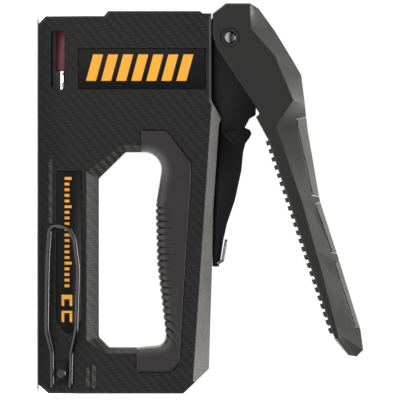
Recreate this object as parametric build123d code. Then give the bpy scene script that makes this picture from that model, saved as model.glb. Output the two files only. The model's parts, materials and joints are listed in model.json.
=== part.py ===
from build123d import *
from math import cos, hypot, radians, sin
import os

# A heavy-duty hand tacker. Millimetres. The base lies on Z = 0, +Z runs towards the lever,
# X = 0 is the plane of the nose and +X runs to the rear, and Y = 0 is the parting plane.

# ---- driving dimensions ----
BODY_LEN = 188.8          # nose plane to rear face
BODY_HALF = 16.0          # half thickness of the composite body
WALL = 2.4                # shell wall
EDGE = 1.2                # chamfer round the side faces
PARTING = 0.05            # each shell stops this far from the parting plane
SHOULDER_Z = 86.7         # top of the head, under the lever's cheeks
BACK_Z = 91.7             # highest point of the back, behind the neck
REAR_BACK_Z = 85.5        # back at the rear corner
COLUMN_Z = 30.0           # lower edge of the hand hole, the top of the magazine column
HOLE_FRONT = 68.0         # front of the hand hole
HOLE_REAR = 166.3         # rear of the hand hole
GRIP_Z = 58.6             # finger side of the grip
RUBBER = 2.8              # thickness of the rubber on the finger side
SKIN = 2.0                # thickness of the rubber on the flanks
SKIN_PROUD = 0.7          # the rubber stands proud of the side face by this much

PIVOT_X = 10.6            # lever pivot
PIVOT_Z = 96.1
PIN_R = 3.25              # lever pin
LEVER_HALF = 15.0         # half width over the lever's cheeks
LEVER_TOP_HALF = 11.0     # half width at the top of the lever
CHANNEL_HALF = 10.2       # half width inside the lever
RECESS = 1.2              # depth of the round recess over each end of the pin
LEVER_SWING = 20.0        # degrees from open to closed
PADS = [(49.5, 90.8, 5.6, 3.6), (92.6, 119.4, 3.7, 2.8), (121.6, 157.2, 3.4, 2.7)]    # X, X, depth, depth
PAD_GAP = 0.35            # groove round each pad
PAD_LEAN = 0.32           # the pads' lower edge is set back by this share of their depth
NUB_COUNT = 24            # tread nubs along each cheek
NUB = 2.3
NUB_HIGH = 1.5

NECK_HALF = 9.7           # neck, inside the lever's cheeks
NECK_SLOT = 6.2           # half width of the slot that the drive arm swings in
TONGUE_HALF = 7.8         # part of the neck that is held between the shells
SPINE_HALF = 7.6          # rail that runs down the back from the neck

LIFT_X = 25.0             # lift arm pivot
LIFT_Z = 76.0
LIFT_PIN_R = 2.5
LIFT_TILT = 18.5          # half of the lift arm's swing, in degrees
LIFT_HALF = 2.0           # half height of the lift arm's two ends
LIFT_THICK = 3.0          # half width of the lift arm
LIFT_REACH = 20.0         # from the lift arm's pivot to its rear end
ROLLER_GAP = 0.6          # between the roller and the lift arm at rest
CARRIER_X = 7.8           # middle of the carrier plate
CARRIER_HALF = 1.1
CARRIER_SLOT = 3.0        # half height of the slot that the lift arm's nose works in
BLADE_X = 6.0             # middle of the striker blade
BLADE_THICK = 1.2
BLADE_HALF = 5.4
RIVETS = (26.0, 34.0)     # heights of the rivets that hold the blade
RIVET_R = 1.25
ROLLER_R = 3.0
ROLLER_PIN_R = 1.5
ROLLER_PIN_HALF = 5.5
SPRING_X = 15.4           # main spring axis
SPRING_R = 5.0
SPRING_WIRE_R = 0.75
SPRING_FOOT = 30.9        # the main spring stands on the carrier's shelf
SPRING_LEN = 32.1
SPRING_PITCH = 5.3
SEAT_HALF = 13.1          # upper spring seat, held in the shells' ribs
SEAT_Z = (64.0, 66.5)

MAG_HALF = 7.0            # outside of the magazine channel
MAG_TOP = 18.0
SHEET = 0.8               # steel sheet of the channel and the rail
RAIL_HALF = 4.8           # outside of the staple rail
RAIL_TOP = 10.8
ROD_Z = 13.4              # pusher's guide rod
ROD_R = 1.1
PUSHER_FRONT = 6.95
PUSHER_LEN = 20.25
CAP_LEN = 8.4             # end cap, set into the rear of the body
CAP_PROUD = 1.0           # the cap is wider than the channel by this much on each side
END_CAP_X = BODY_LEN - CAP_LEN

WINDOW = (7.5, 37.2, 6.5, 13.2)      # window over the magazine: X, X, Z, Z
HOOK_R = 1.2              # belt hook wire
HOOK_GAP = 5.0            # room for a belt between the hook and the body
BAIL_R = 0.7              # lock bail wire
BAIL_X = 124.0
BAIL_Z = 89.3
CATCH_HALF = 6.0
SCREW_R = 1.5
SCREW_HEAD_R = 2.9
BOSS_R = 3.2

CLEAR = 0.3               # between pieces that move past each other
FIT = 0.05                # radial running clearance
SEAT = 0.05               # between pieces that sit against each other


# ---- panels and belt hook places ----
BADGE = (16.2, 36.5)
BADGE_Z = (20.0, 84.0)
LABEL_DEPTH = 0.8
LABEL_GAP = 0.2
INFO = [(77.6, 9.2), (152.0, 9.2), (158.5, 14.0), (158.5, 17.5), (152.0, 22.0), (77.6, 22.0)]
HOOK_REAR = BODY_LEN - 3.8
HOOK_ENDS = (7.2, 16.2)
HOOK_SCREW = (HOOK_REAR - 6.3, 11.8)
HOOK_SCREW_R = 1.15


# ---- helpers ----
def face_at(points, y):
    """Flat face in the plane Y = y from (x, z) corners."""
    return make_face(Polyline(*[(px, y, pz) for px, pz in points], close=True))


def plate(points, y0, y1):
    """Prism with an (x, z) outline between two Y planes."""
    return extrude(face_at(points, y0), amount=y1 - y0, dir=(0, 1, 0))


def rounded_plate(points, radius, y0, y1):
    """The same with its corners rounded."""
    loop = FilletPolyline(*[(px, y0, pz) for px, pz in points], radius=radius, close=True)
    return extrude(make_face(loop), amount=y1 - y0, dir=(0, 1, 0))


def grown(points, amount, y0, y1):
    """Prism whose outline is offset outwards, or inwards for a negative amount."""
    flat = offset(face_at(points, y0), amount=amount, kind=Kind.INTERSECTION)
    return extrude(flat, amount=y1 - y0, dir=(0, 1, 0))


def block(x0, x1, y0, y1, z0, z1):
    return Pos((x0 + x1) / 2, (y0 + y1) / 2, (z0 + z1) / 2) * Box(x1 - x0, y1 - y0, z1 - z0)


def pin_y(px, pz, radius, y0, y1):
    """Round bar along Y."""
    return Pos(px, (y0 + y1) / 2, pz) * Rot(90, 0, 0) * Cylinder(radius, y1 - y0)


def pin_x(py, pz, radius, x0, x1):
    """Round bar along X."""
    return Pos((x0 + x1) / 2, py, pz) * Rot(0, 90, 0) * Cylinder(radius, x1 - x0)


def both_sides(shape):
    """A piece and its mirror image across the parting plane."""
    return shape + mirror(shape, about=Plane.XZ)


def turned(point, degrees):
    """A point swung about the lever pivot, closing positive."""
    dx = point[0] - PIVOT_X
    dz = point[1] - PIVOT_Z
    c = cos(radians(degrees))
    s = sin(radians(degrees))
    return (PIVOT_X + dx * c + dz * s, PIVOT_Z - dx * s + dz * c)


def wire_along(points, corner, radius):
    """Round wire on straight runs joined by arcs."""
    path = FilletPolyline(*points, radius=corner)
    start = path @ 0
    return sweep(Plane(origin=start, z_dir=path % 0) * Circle(radius), path=path)


def coil(radius, wire, pitch, length):
    """Helical spring standing on Z = 0."""
    path = Helix(pitch=pitch, height=length, radius=radius)
    return sweep(Plane(origin=path @ 0, z_dir=path % 0) * Circle(wire), path=path, is_frenet=True)


def save(name, shape):
    solids = shape.solids()
    export_step(solids[0] if len(solids) == 1 else Compound(children=list(solids)), f"parts/{name}.step")


# ---- outlines, (x, z) ----
BODY = [
    (4.0, 0.0),
    (0.0, 3.75),
    (0.0, 33.0),
    (-2.5, 35.0),
    (-2.5, 81.0),
    (-1.4, 82.2),
    (-1.4, SHOULDER_Z),
    (42.0, SHOULDER_Z),
    (51.4, BACK_Z),
    (54.0, BACK_Z - 1.1),
    (97.0, 87.6),
    (120.0, 87.2),
    (BODY_LEN - 12.2, REAR_BACK_Z),
    (BODY_LEN, 72.6),
    (BODY_LEN, 5.2),
    (BODY_LEN - 4.6, 0.0),
]
FLANK_FRONT = (42.0, 87.0)
FLANK_REAR = (BODY_LEN - 13.0, 77.9)

HAND_HOLE = [
    (HOLE_FRONT, 43.5),
    (HOLE_FRONT, 63.2),
    (96.0, GRIP_Z),
    (124.0, GRIP_Z + 0.8),
    (HOLE_REAR - 1.3, 64.4),
    (HOLE_REAR, 50.0),
    (HOLE_REAR, 35.2),
    (HOLE_REAR - 5.4, COLUMN_Z),
    (81.3, COLUMN_Z),
]
HAND_HOLE_RADII = [1.5, 9.0, 25.0, 60.0, 5.5, 2.0, 2.0, 2.0, 1.5]
FLARE_DEPTH = 5.0
FLARED_HOLE = [
    (HOLE_FRONT - 3.4, 42.0),
    (HOLE_FRONT - 3.4, 63.2),
    (96.0, GRIP_Z + 1.0),
    (124.0, GRIP_Z + 1.8),
    (HOLE_REAR - 1.3, 65.4),
    (HOLE_REAR + 2.4, 50.0),
    (HOLE_REAR + 2.4, 33.4),
    (HOLE_REAR - 4.0, COLUMN_Z - 5.8),
    (78.0, COLUMN_Z - 5.8),
]
RUBBER_HOLE = [
    (HOLE_FRONT - RUBBER, 51.5),
    (HOLE_FRONT - RUBBER, 63.2 + RUBBER),
    (96.0, GRIP_Z + RUBBER),
    (124.0, GRIP_Z + 0.8 + RUBBER),
    (HOLE_REAR - 1.3 + RUBBER, 64.4 + RUBBER),
    (HOLE_REAR + RUBBER, 49.2),
]
RUBBER_OUTLINE = [
    (57.0, 51.5),
    (57.0, 64.8),
    (73.0, 76.4),
    (78.0, 76.9),
    (126.0, 73.8),
    (HOLE_REAR + 7.2, 70.9),
    (HOLE_REAR + 11.8, 67.0),
    (HOLE_REAR + 11.8, 49.2),
    (HOLE_REAR - 6.0, 49.2),
    (HOLE_REAR - 6.0, 51.5),
]
RUBBER_RADII = [0.8, 4.0, 4.0, 2.5, 60.0, 3.0, 2.5, 0.8, 0.8, 0.8]

SCREWS = [(53.0, 80.5), (36.0, 50.0), (50.0, 23.0), (118.0, 21.3), (BODY_LEN - 12.8, 26.0),
          (BODY_LEN - 17.8, 75.0), (112.0, 79.0)]

LEVER_OUTLINE = [
    (-1.4, 87.3),
    (-6.6, 93.8),
    (-6.6, 106.0),
    (-3.9, 110.4),
    (7.3, 118.5),
    (22.0, 127.5),
    (29.5, 131.8),
    (44.0, 133.6),
    (57.0, 135.0),
    (92.0, 141.0),
    (118.0, 149.4),
    (134.0, 154.4),
    (156.9, 161.5),
    (167.0, 162.8),
    (170.4, 159.5),
    (169.8, 155.4),
    (162.5, 149.0),
    (61.4, 115.4),
    (50.2, 109.2),
    (48.5, 111.2),
    (32.0, 100.2),
    (16.0, 89.6),
    (9.5, 87.2),
]
LEVER_CHEEK = [
    (-1.2, 87.6),
    (-6.0, 94.0),
    (-6.0, 106.2),
    (0.0, 106.3),
    (6.0, 106.4),
    (20.0, 118.5),
    (29.3, 122.2),
    (42.0, 127.5),
    (55.0, 119.0),
    (91.5, 131.4),
    (117.0, 138.7),
    (133.0, 143.2),
    (154.0, 148.6),
    (159.0, 150.0),
    (161.0, 150.4),
    (161.6, 149.8),
    (160.9, 148.5),
    (61.8, 115.5),
    (50.4, 109.4),
    (48.4, 111.0),
    (32.0, 100.3),
    (16.0, 89.8),
    (9.5, 87.5),
]
LEVER_CHANNEL = [
    (-3.6, 80.0),
    (-3.6, 104.8),
    (-1.6, 108.0),
    (9.0, 115.6),
    (23.6, 124.2),
    (30.5, 128.4),
    (44.0, 129.6),
    (57.6, 129.0),
    (91.0, 134.7),
    (116.0, 142.8),
    (130.5, 147.3),
    (130.5, 130.0),
    (60.0, 100.0),
    (50.0, 80.0),
]
LEVER_TAIL_CHANNEL = [
    (133.5, 148.3),
    (154.0, 154.7),
    (160.0, 140.0),
    (133.5, 132.0),
]
NECK = [
    (1.0, SHOULDER_Z + SEAT),
    (1.0, 101.0),
    (5.0, 105.0),
    (17.0, 105.0),
    (30.0, 109.0),
    (49.3, 109.0),
    (51.0, 106.0),
    (55.7, 103.5),
    (57.6, 95.0),
    (57.6, BACK_Z + SEAT),
    (51.2, BACK_Z + SEAT),
    (41.9, SHOULDER_Z + SEAT),
]
SPINE = [
    (48.0, BACK_Z + SEAT),
    (48.0, 106.0),
    (51.0, 106.0),
    (55.7, 103.5),
    (56.8, 106.0),
    (58.6, 106.9),
    (60.6, 106.0),
    (63.6, 103.8),
    (68.0, 102.7),
    (77.2, 101.8),
    (92.0, 98.6),
    (103.8, 94.6),
    (112.2, 92.7),
    (121.4, 91.4),
    (125.4, 90.4),
    (125.4, 87.25),
    (120.0, 87.2 + SEAT),
    (97.0, 87.6 + SEAT),
    (54.0, BACK_Z - 1.1 + SEAT),
    (51.4, BACK_Z + SEAT),
]


# ---- body shells ----
def hand_hole(y0, y1):
    loop = FilletPolyline(*[(px, y0, pz) for px, pz in HAND_HOLE], radius=HAND_HOLE_RADII, close=True)
    return extrude(make_face(loop), amount=y1 - y0, dir=(0, 1, 0))


def flank_box(inset):
    """Block above the sloped flank of the back, moved inwards by inset."""
    dx = FLANK_REAR[0] - FLANK_FRONT[0]
    dz = FLANK_REAR[1] - FLANK_FRONT[1]
    run = hypot(dx, dz)
    up = Vector(-dz / run, 0, dx / run)
    out = (up - Vector(0, 1, 0)).normalized()
    origin = Vector(FLANK_FRONT[0], -BODY_HALF, FLANK_FRONT[1]) - out * inset
    surface = Plane(origin=origin, x_dir=(dx, 0, dz), z_dir=out)
    return surface * Pos(run / 2 + 10, 0, 15) * Box(run + 60, 60, 30)


def screw_boss(px, pz):
    return pin_y(px, pz, BOSS_R, -BODY_HALF + WALL - 1.4, -PARTING)


def shell_block():
    """Outside of one half, without its openings."""
    block_half = plate(BODY, -BODY_HALF, -PARTING)
    block_half = chamfer(block_half.edges().group_by(Axis.Y)[0], EDGE)
    return block_half - flank_box(0)


def shell_cavity():
    inner = grown(BODY, -WALL, -BODY_HALF + WALL, 1)
    inner -= grown(RUBBER_HOLE, WALL, -BODY_HALF, 2)
    inner -= grown(HAND_HOLE, WALL + 0.6, -BODY_HALF, 2)
    inner -= grown(FLARED_HOLE, WALL - 0.4, -BODY_HALF, -BODY_HALF + FLARE_DEPTH + WALL)
    inner -= grown(RUBBER_OUTLINE, 1.0, -BODY_HALF, -BODY_HALF + SKIN + WALL - SKIN_PROUD)
    return inner - flank_box(WALL)


def shell():
    """Half shell on the -Y side, before the details that only one side has."""
    half = shell_block() - shell_cavity()
    for px, pz in SCREWS:
        half += screw_boss(px, pz)
    low, high = SEAT_Z
    ribs = block(2.0, 5.0, -BODY_HALF + 2, -9.2, 24, 60)
    ribs += block(9.0, 24.4, -BODY_HALF + 2, -SEAT_HALF - 0.1, low - 2.5, high + 2)
    half += ribs - block(3.9, 5.3, -30, -8, 0, 60.2) - block(8.8, 24.3, -30, -8, low - SEAT, high + SEAT)
    half -= hand_hole(-BODY_HALF - 1, 1)
    half -= plate(RUBBER_HOLE, -BODY_HALF - 1, 1)
    half -= flare()
    skin = rounded_plate(RUBBER_OUTLINE, RUBBER_RADII, -BODY_HALF - 1, -BODY_HALF + SKIN - SKIN_PROUD)
    half -= skin
    half -= block(3.9, BODY_LEN + 10, -MAG_HALF - 0.15, 1, -1, MAG_TOP + 0.15)
    half -= block(END_CAP_X - 0.4, BODY_LEN + 10, -MAG_HALF - CAP_PROUD - 0.35, 1, -1, MAG_TOP + 1.6)
    half -= block(2.4, 59.0, -TONGUE_HALF - CLEAR, 1, SHOULDER_Z - 8.2, BACK_Z - 0.5)
    half -= block(2.4, 50.0, -TONGUE_HALF - CLEAR, 1, 70, BACK_Z + 5)
    half -= window(-BODY_HALF - 1, 1)
    half -= pin_y(LIFT_X, LIFT_Z, LIFT_PIN_R + FIT, -BODY_HALF + 1.6, 1)
    for px, pz in SCREWS:
        half -= pin_y(px, pz, SCREW_R + FIT, -BODY_HALF + 5.0, 1)
    return half


def flare():
    """Sloped lead-in round the hand hole."""
    inner = face_at(HAND_HOLE, -BODY_HALF + FLARE_DEPTH)
    outer = face_at(FLARED_HOLE, -BODY_HALF)
    return loft([inner, outer], ruled=True)


def window(y0, y1):
    x0, x1, z0, z1 = WINDOW
    loop = [(x0, z0), (x1, z0), (x1, z1), (x0, z1)]
    return rounded_plate(loop, [1.0, 3.2, 3.2, 1.0], y0, y1)


def left_shell():
    half = shell()
    half -= block(*BADGE, -BODY_HALF - 1, -BODY_HALF + LABEL_DEPTH, *BADGE_Z)
    half -= plate(INFO, -BODY_HALF - 1, -BODY_HALF + LABEL_DEPTH)
    rib = [(71.5, 5.5), (104.0, 5.5), (104.0, 7.0), (71.5, 7.0)]
    half += rounded_plate(rib, 0.7, -BODY_HALF - 0.7, -BODY_HALF + 0.5)
    x_rear = BODY_LEN - 2.8
    for z_mid, x_front in ((25.0, x_rear - 10.5), (27.9, x_rear - 11.5)):
        low, high = z_mid - 0.9, z_mid + 0.9
        ridge = [(x_front, low), (x_rear, low), (x_rear, high), (x_front, high)]
        half += rounded_plate(ridge, 0.85, -BODY_HALF - 0.8, -BODY_HALF + 0.5)
    for pz in HOOK_ENDS:
        half -= pin_y(HOOK_REAR, pz, HOOK_R + SEAT, -BODY_HALF - 1, -BODY_HALF + 5)
    half -= pin_y(*HOOK_SCREW, HOOK_SCREW_R + 0.1, -BODY_HALF - 1, -BODY_HALF + 7)
    return half


def right_shell():
    half = mirror(shell(), about=Plane.XZ)
    for px, pz in SCREWS:
        half -= pin_y(px, pz, SCREW_R + 0.2, PARTING - 1, BODY_HALF + 1)
        half -= pin_y(px, pz, SCREW_HEAD_R + 0.2, BODY_HALF - 2.0, BODY_HALF + 1)
    return half


def badge_plate():
    x0, x1 = BADGE
    z0, z1 = BADGE_Z
    y1 = -BODY_HALF + LABEL_DEPTH - SEAT
    return block(x0 + LABEL_GAP, x1 - LABEL_GAP, -BODY_HALF + 0.1, y1, z0 + LABEL_GAP, z1 - LABEL_GAP)


def info_plate():
    return grown(INFO, -LABEL_GAP, -BODY_HALF + 0.1, -BODY_HALF + LABEL_DEPTH - SEAT)


def rubber_half():
    """Rubber moulded over the -Y half of the grip."""
    outline = rounded_plate(RUBBER_OUTLINE, RUBBER_RADII, -BODY_HALF - SKIN_PROUD, -PARTING)
    outline = outline & grown(RUBBER_OUTLINE, -0.3, -BODY_HALF - SKIN_PROUD, -PARTING)
    skin = outline & block(0, BODY_LEN, -BODY_HALF - 5, -BODY_HALF + SKIN - SKIN_PROUD - SEAT, 0, 100)
    wall = outline & grown(RUBBER_HOLE, -SEAT, -BODY_HALF - SKIN_PROUD, -PARTING)
    return skin + wall - hand_hole(-30, 1)


# ---- lever ----
def lever_block():
    """Outside of the lever: flat cheeks, sloped flanks and a narrower top."""
    cheek = face_at(LEVER_CHEEK, -LEVER_HALF)
    crown = face_at(LEVER_OUTLINE, -LEVER_TOP_HALF)
    flank = loft([cheek, crown], ruled=True)
    middle = plate(LEVER_OUTLINE, -LEVER_TOP_HALF, LEVER_TOP_HALF)
    return middle + both_sides(flank)


def pad_outline(x0, x1, deep_front, deep_rear):
    """Strip along the lever's outer edge between two distances from the nose, shallower to the rear."""
    top = [(px, pz) for px, pz in LEVER_OUTLINE[7:13] if x0 < px < x1]
    upper = [(x0, lever_top(x0))] + top + [(x1, lever_top(x1))]
    lower = []
    for px, pz in reversed(upper):
        deep = deep_front + (deep_rear - deep_front) * (px - x0) / (x1 - x0)
        lower.append((px - PAD_LEAN * deep, pz - deep))
    lower[-1] = (lower[-1][0] + 2 * PAD_LEAN * deep_front, lower[-1][1] + 1.0)
    return [(px, pz + 2.0) for px, pz in upper] + lower


def lever_top(px):
    """Height of the lever's outer edge at a distance from the nose."""
    for (x0, z0), (x1, z1) in zip(LEVER_OUTLINE[5:13], LEVER_OUTLINE[6:14]):
        if x0 <= px <= x1:
            return z0 + (z1 - z0) * (px - x0) / (x1 - x0)


def tread_line():
    """Start and unit direction of the lever's lower edge, where the tread sits."""
    (x1, z1), (x0, z0) = LEVER_OUTLINE[16:18]
    run = hypot(x1 - x0, z1 - z0)
    return (x0, z0), ((x1 - x0) / run, (z1 - z0) / run), run


def tread_strip(side, y0, y1, low, high):
    """Strip along the lower edge of one cheek, from low to high above that edge."""
    (x0, z0), (tx, tz), run = tread_line()
    rail = [(0.4, low), (run - 3.0, low), (run - 3.0, high), (0.4, high)]
    points = [(x0 + tx * s - tz * h, z0 + tz * s + tx * h) for s, h in rail]
    return plate(points, min(side * y0, side * y1), max(side * y0, side * y1))


def tread():
    """Two strips with square nubs, one let into each cheek."""
    (x0, z0), (tx, tz), run = tread_line()
    pitch = (run - 7.0) / (NUB_COUNT - 1)
    strips = []
    for side in (-1, 1):
        strip = tread_strip(side, CHANNEL_HALF + 0.6, LEVER_HALF - 0.7, 0.0, 1.3)
        y0, y1 = sorted((side * (CHANNEL_HALF + 1.0), side * (LEVER_HALF - 0.9)))
        for index in range(NUB_COUNT):
            along = 1.8 + pitch * index
            corners = [(along - NUB / 2, -NUB_HIGH), (along + NUB / 2, -NUB_HIGH),
                       (along + NUB / 2, 0.1), (along - NUB / 2, 0.1)]
            points = [(x0 + tx * s - tz * h, z0 + tz * s + tx * h) for s, h in corners]
            strip += rounded_plate(points, 0.35, y0, y1)
        strips.append(strip)
    return strips[0] + strips[1]


def lever():
    shape = lever_block()
    shape -= plate(LEVER_CHANNEL, -CHANNEL_HALF, CHANNEL_HALF)
    shape -= plate(LEVER_TAIL_CHANNEL, -CHANNEL_HALF, CHANNEL_HALF)
    for place in PADS:
        shape -= plate(pad_outline(*place), -LEVER_HALF - 1, LEVER_HALF + 1)
    for side in (-1, 1):
        shape -= tread_strip(side, CHANNEL_HALF + 0.5, LEVER_HALF - 0.6, -2.0, 1.35)
        y0, y1 = sorted((side * (LEVER_HALF - RECESS), side * (LEVER_HALF + 1)))
        shape -= pin_y(PIVOT_X, PIVOT_Z, PIN_R + 1.75, y0, y1)
    shape -= pin_y(PIVOT_X, PIVOT_Z, PIN_R + 0.01, -20, 20)
    shape -= grown(catch_outline(), SEAT, -CATCH_HALF - SEAT, CATCH_HALF + SEAT)
    return shape


def palm_pad(x0, x1, deep_front, deep_rear):
    """Pad that fills its notch in the lever, less a gap on three sides."""
    outline = pad_outline(x0 + PAD_GAP, x1 - PAD_GAP, deep_front - PAD_GAP, deep_rear - PAD_GAP)
    return lever_block() & plate(outline, -LEVER_HALF, LEVER_HALF)


def lever_pivot_pin():
    pin = pin_y(PIVOT_X, PIVOT_Z, PIN_R, -LEVER_HALF + 0.2, LEVER_HALF - 0.2)
    return chamfer(pin.edges().filter_by(GeomType.CIRCLE), 0.7)


def pivot_washers():
    ring = pin_y(PIVOT_X, PIVOT_Z, PIN_R + 2.75, -CHANNEL_HALF + 0.04, -NECK_HALF - 0.04)
    return both_sides(ring - pin_y(PIVOT_X, PIVOT_Z, PIN_R + FIT, -20, 0))


def roller_centre():
    """Place of the drive roller at rest, above the rear arm of the lift arm."""
    tilt = radians(LIFT_TILT)
    off = LIFT_HALF + ROLLER_R + ROLLER_GAP
    x = LIFT_X + LIFT_REACH * cos(tilt) - off * sin(tilt)
    z = LIFT_Z + LIFT_REACH * sin(tilt) + off * cos(tilt)
    return (x, z)


def bar_between(a, b, half_a, half_b, y0, y1):
    """Tapered link with round ends between two axes along Y."""
    run = hypot(b[0] - a[0], b[1] - a[1])
    nx = -(b[1] - a[1]) / run
    nz = (b[0] - a[0]) / run
    points = [(a[0] + nx * half_a, a[1] + nz * half_a), (b[0] + nx * half_b, b[1] + nz * half_b),
              (b[0] - nx * half_b, b[1] - nz * half_b), (a[0] - nx * half_a, a[1] - nz * half_a)]
    return plate(points, y0, y1) + pin_y(*a, half_a, y0, y1) + pin_y(*b, half_b, y0, y1)


def drive_arm():
    """Two steel plates on a hub, fixed to the lever pin."""
    pivot = (PIVOT_X, PIVOT_Z)
    cheek = bar_between(pivot, roller_centre(), PIN_R + 3.15, ROLLER_R + 0.4, -5.4, -3.5)
    arm = both_sides(cheek) + pin_y(*pivot, PIN_R + 1.25, -3.6, 3.6)
    arm -= pin_y(*pivot, PIN_R + 0.01, -10, 10)
    return arm - pin_y(*roller_centre(), ROLLER_PIN_R + 0.01, -10, 10)


def drive_roller():
    px, pz = roller_centre()
    return pin_y(px, pz, ROLLER_R, -3.1, 3.1) - pin_y(px, pz, ROLLER_PIN_R + FIT, -5, 5)


def roller_pin():
    px, pz = roller_centre()
    return pin_y(px, pz, ROLLER_PIN_R, -ROLLER_PIN_HALF, ROLLER_PIN_HALF)


def lever_return_spring():
    """Torsion spring round the hub of the drive arm."""
    body = Rot(90, 0, 0) * coil(PIN_R + 2.05, 0.5, 1.2, 6.0)
    return Pos(PIVOT_X, 3.0, PIVOT_Z) * body


def catch_outline():
    """Hook that the bail's crossbar drops over, drawn with the lever closed and swung open."""
    hook = [(121.4, 98.2), (129.4, 98.2), (129.4, 105.6), (126.6, 105.2), (126.6, 100.2), (121.4, 100.2)]
    return [turned(point, -LEVER_SWING) for point in hook]


def lock_catch():
    return plate(catch_outline(), -CATCH_HALF, CATCH_HALF)


# ---- neck and spine ----
def neck_frame():
    cheeks = both_sides(plate(NECK, -NECK_HALF, -NECK_SLOT))
    tongue_top = SHOULDER_Z + 1
    tongue = [(3.0, 79.0), (58.0, 79.0), (58.0, 91.0), (51.0, 91.0), (42.0, tongue_top), (3.0, tongue_top)]
    frame = cheeks + both_sides(plate(tongue, -TONGUE_HALF, -NECK_SLOT))
    bridge = [(1.0, 98.0), (1.0, 101.0), (5.0, 105.0), (17.0, 105.0),
              (17.0, 103.4), (5.6, 103.4), (3.0, 100.6), (3.0, 98.0)]
    frame += plate(bridge, -NECK_SLOT - 0.5, NECK_SLOT + 0.5)
    frame += plate(SPINE, -SPINE_HALF, SPINE_HALF)
    frame -= pin_y(PIVOT_X, PIVOT_Z, PIN_R + FIT, -20, 20)
    frame -= pin_y(BAIL_X, BAIL_Z, BAIL_R + FIT, -20, 20)
    frame -= pin_y(*SCREWS[0], BOSS_R + 0.2, -20, 20)
    return frame


def lock_bail():
    """Wire loop hinged in the end of the spine."""
    side = SPINE_HALF + 0.45 + BAIL_R
    legs = [
        (BAIL_X, -SPINE_HALF + 3.0, BAIL_Z),
        (BAIL_X, -side, BAIL_Z),
        (122.4, -side, 92.4),
        (112.4, -side, 94.1),
        (112.4, side, 94.1),
        (122.4, side, 92.4),
        (BAIL_X, side, BAIL_Z),
        (BAIL_X, SPINE_HALF - 3.0, BAIL_Z),
    ]
    return wire_along(legs, 1.2, BAIL_R)


# ---- striker ----
def nose_z():
    """Height of the lift arm's nose at rest."""
    return LIFT_Z - nose_reach() * sin(radians(LIFT_TILT))


def nose_reach():
    return (LIFT_X - CARRIER_X) / cos(radians(LIFT_TILT))


def lift_arm():
    tilt = radians(LIFT_TILT)
    pivot = (LIFT_X, LIFT_Z)
    nose = (CARRIER_X, nose_z())
    tail = (LIFT_X + LIFT_REACH * cos(tilt), LIFT_Z + LIFT_REACH * sin(tilt))
    arm = bar_between(pivot, tail, LIFT_HALF, LIFT_HALF, -LIFT_THICK, LIFT_THICK)
    arm += bar_between(nose, pivot, LIFT_HALF - 0.1, LIFT_HALF, -LIFT_THICK, LIFT_THICK)
    arm += pin_y(*pivot, LIFT_PIN_R + 2.1, -LIFT_THICK - 0.2, LIFT_THICK + 0.2)
    return arm - pin_y(*pivot, LIFT_PIN_R + FIT, -10, 10)


def lift_arm_pin():
    return pin_y(LIFT_X, LIFT_Z, LIFT_PIN_R, -BODY_HALF + 1.7, BODY_HALF - 1.7)


def striker_blade():
    x0 = BLADE_X - BLADE_THICK / 2
    blade = block(x0, x0 + BLADE_THICK, -BLADE_HALF, BLADE_HALF, 0.5, 38.0)
    for pz in RIVETS:
        blade -= pin_x(0, pz, RIVET_R + 0.02, 0, 12)
    return blade


def striker_carrier():
    x0 = CARRIER_X - CARRIER_HALF
    web = block(x0, x0 + 2 * CARRIER_HALF, -BLADE_HALF, BLADE_HALF, 22.0, 76.0)
    slot_half = LIFT_THICK + 0.5
    web -= block(0, 12, -slot_half, slot_half, nose_z() - CARRIER_SLOT, nose_z() + CARRIER_SLOT)
    shelf = block(x0 + CARRIER_HALF, SPRING_X + SPRING_R + 1.4, -6.0, 6.0, 27.0, SPRING_FOOT - 0.9)
    shape = web + shelf
    for pz in RIVETS:
        shape -= pin_x(0, pz, RIVET_R + 0.02, 0, 12)
    return shape


def blade_rivets():
    rivets = Part()
    for pz in RIVETS:
        rivets += pin_x(0, pz, RIVET_R, BLADE_X - BLADE_THICK / 2, CARRIER_X + CARRIER_HALF)
    return rivets


def main_spring():
    return Pos(SPRING_X, 0, SPRING_FOOT) * coil(SPRING_R, SPRING_WIRE_R, SPRING_PITCH, SPRING_LEN)


def spring_seat():
    return block(9.4, 24.2, -SEAT_HALF, SEAT_HALF, *SEAT_Z)


def striker_bumper():
    pad = block(9.6, 21.0, -5.6, 5.6, MAG_TOP + SEAT, 26.6)
    return chamfer(pad.edges().group_by(Axis.Z)[-1], 1.0)


def nose_plate():
    """Steel front guide of the striker, narrower where it goes through the base."""
    wide = block(4.0, 5.2, -9.0, 9.0, 5.0, 60.0)
    return wide + block(4.0, 5.2, -MAG_HALF, MAG_HALF, 0.6, 6.0)


# ---- magazine ----
def magazine_channel():
    outer = block(7.0, END_CAP_X - 0.5, -MAG_HALF, MAG_HALF, 0.4, MAG_TOP)
    inner = block(0, BODY_LEN, -MAG_HALF + SHEET, MAG_HALF - SHEET, -1, MAG_TOP - SHEET)
    return outer - inner - window(-10, 10)


def magazine_rail():
    outer = block(7.1, END_CAP_X - 0.05, -RAIL_HALF, RAIL_HALF, 0.5, RAIL_TOP)
    return outer - block(0, BODY_LEN, -RAIL_HALF + SHEET, RAIL_HALF - SHEET, 0.5 + SHEET, 30)


def magazine_end_cap():
    cap = block(END_CAP_X, BODY_LEN - 0.3, -MAG_HALF - CAP_PROUD, MAG_HALF + CAP_PROUD, 0.4, MAG_TOP + 0.4)
    rear = cap.edges().filter_by(Axis.Y).group_by(Axis.X)[-1]
    cap = chamfer(rear.sort_by(Axis.Z)[0], 4.0)
    cap -= block(BODY_LEN - 2.2, BODY_LEN + 1, -5.0, 5.0, 8.0, 14.0)
    cap -= block(END_CAP_X + 2.4, END_CAP_X + 5.4, -3.2, 3.2, MAG_TOP - 1.2, MAG_TOP + 2)
    return cap - pin_x(0, ROD_Z, ROD_R + 0.01, END_CAP_X - 1, END_CAP_X + 4.0)


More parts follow.
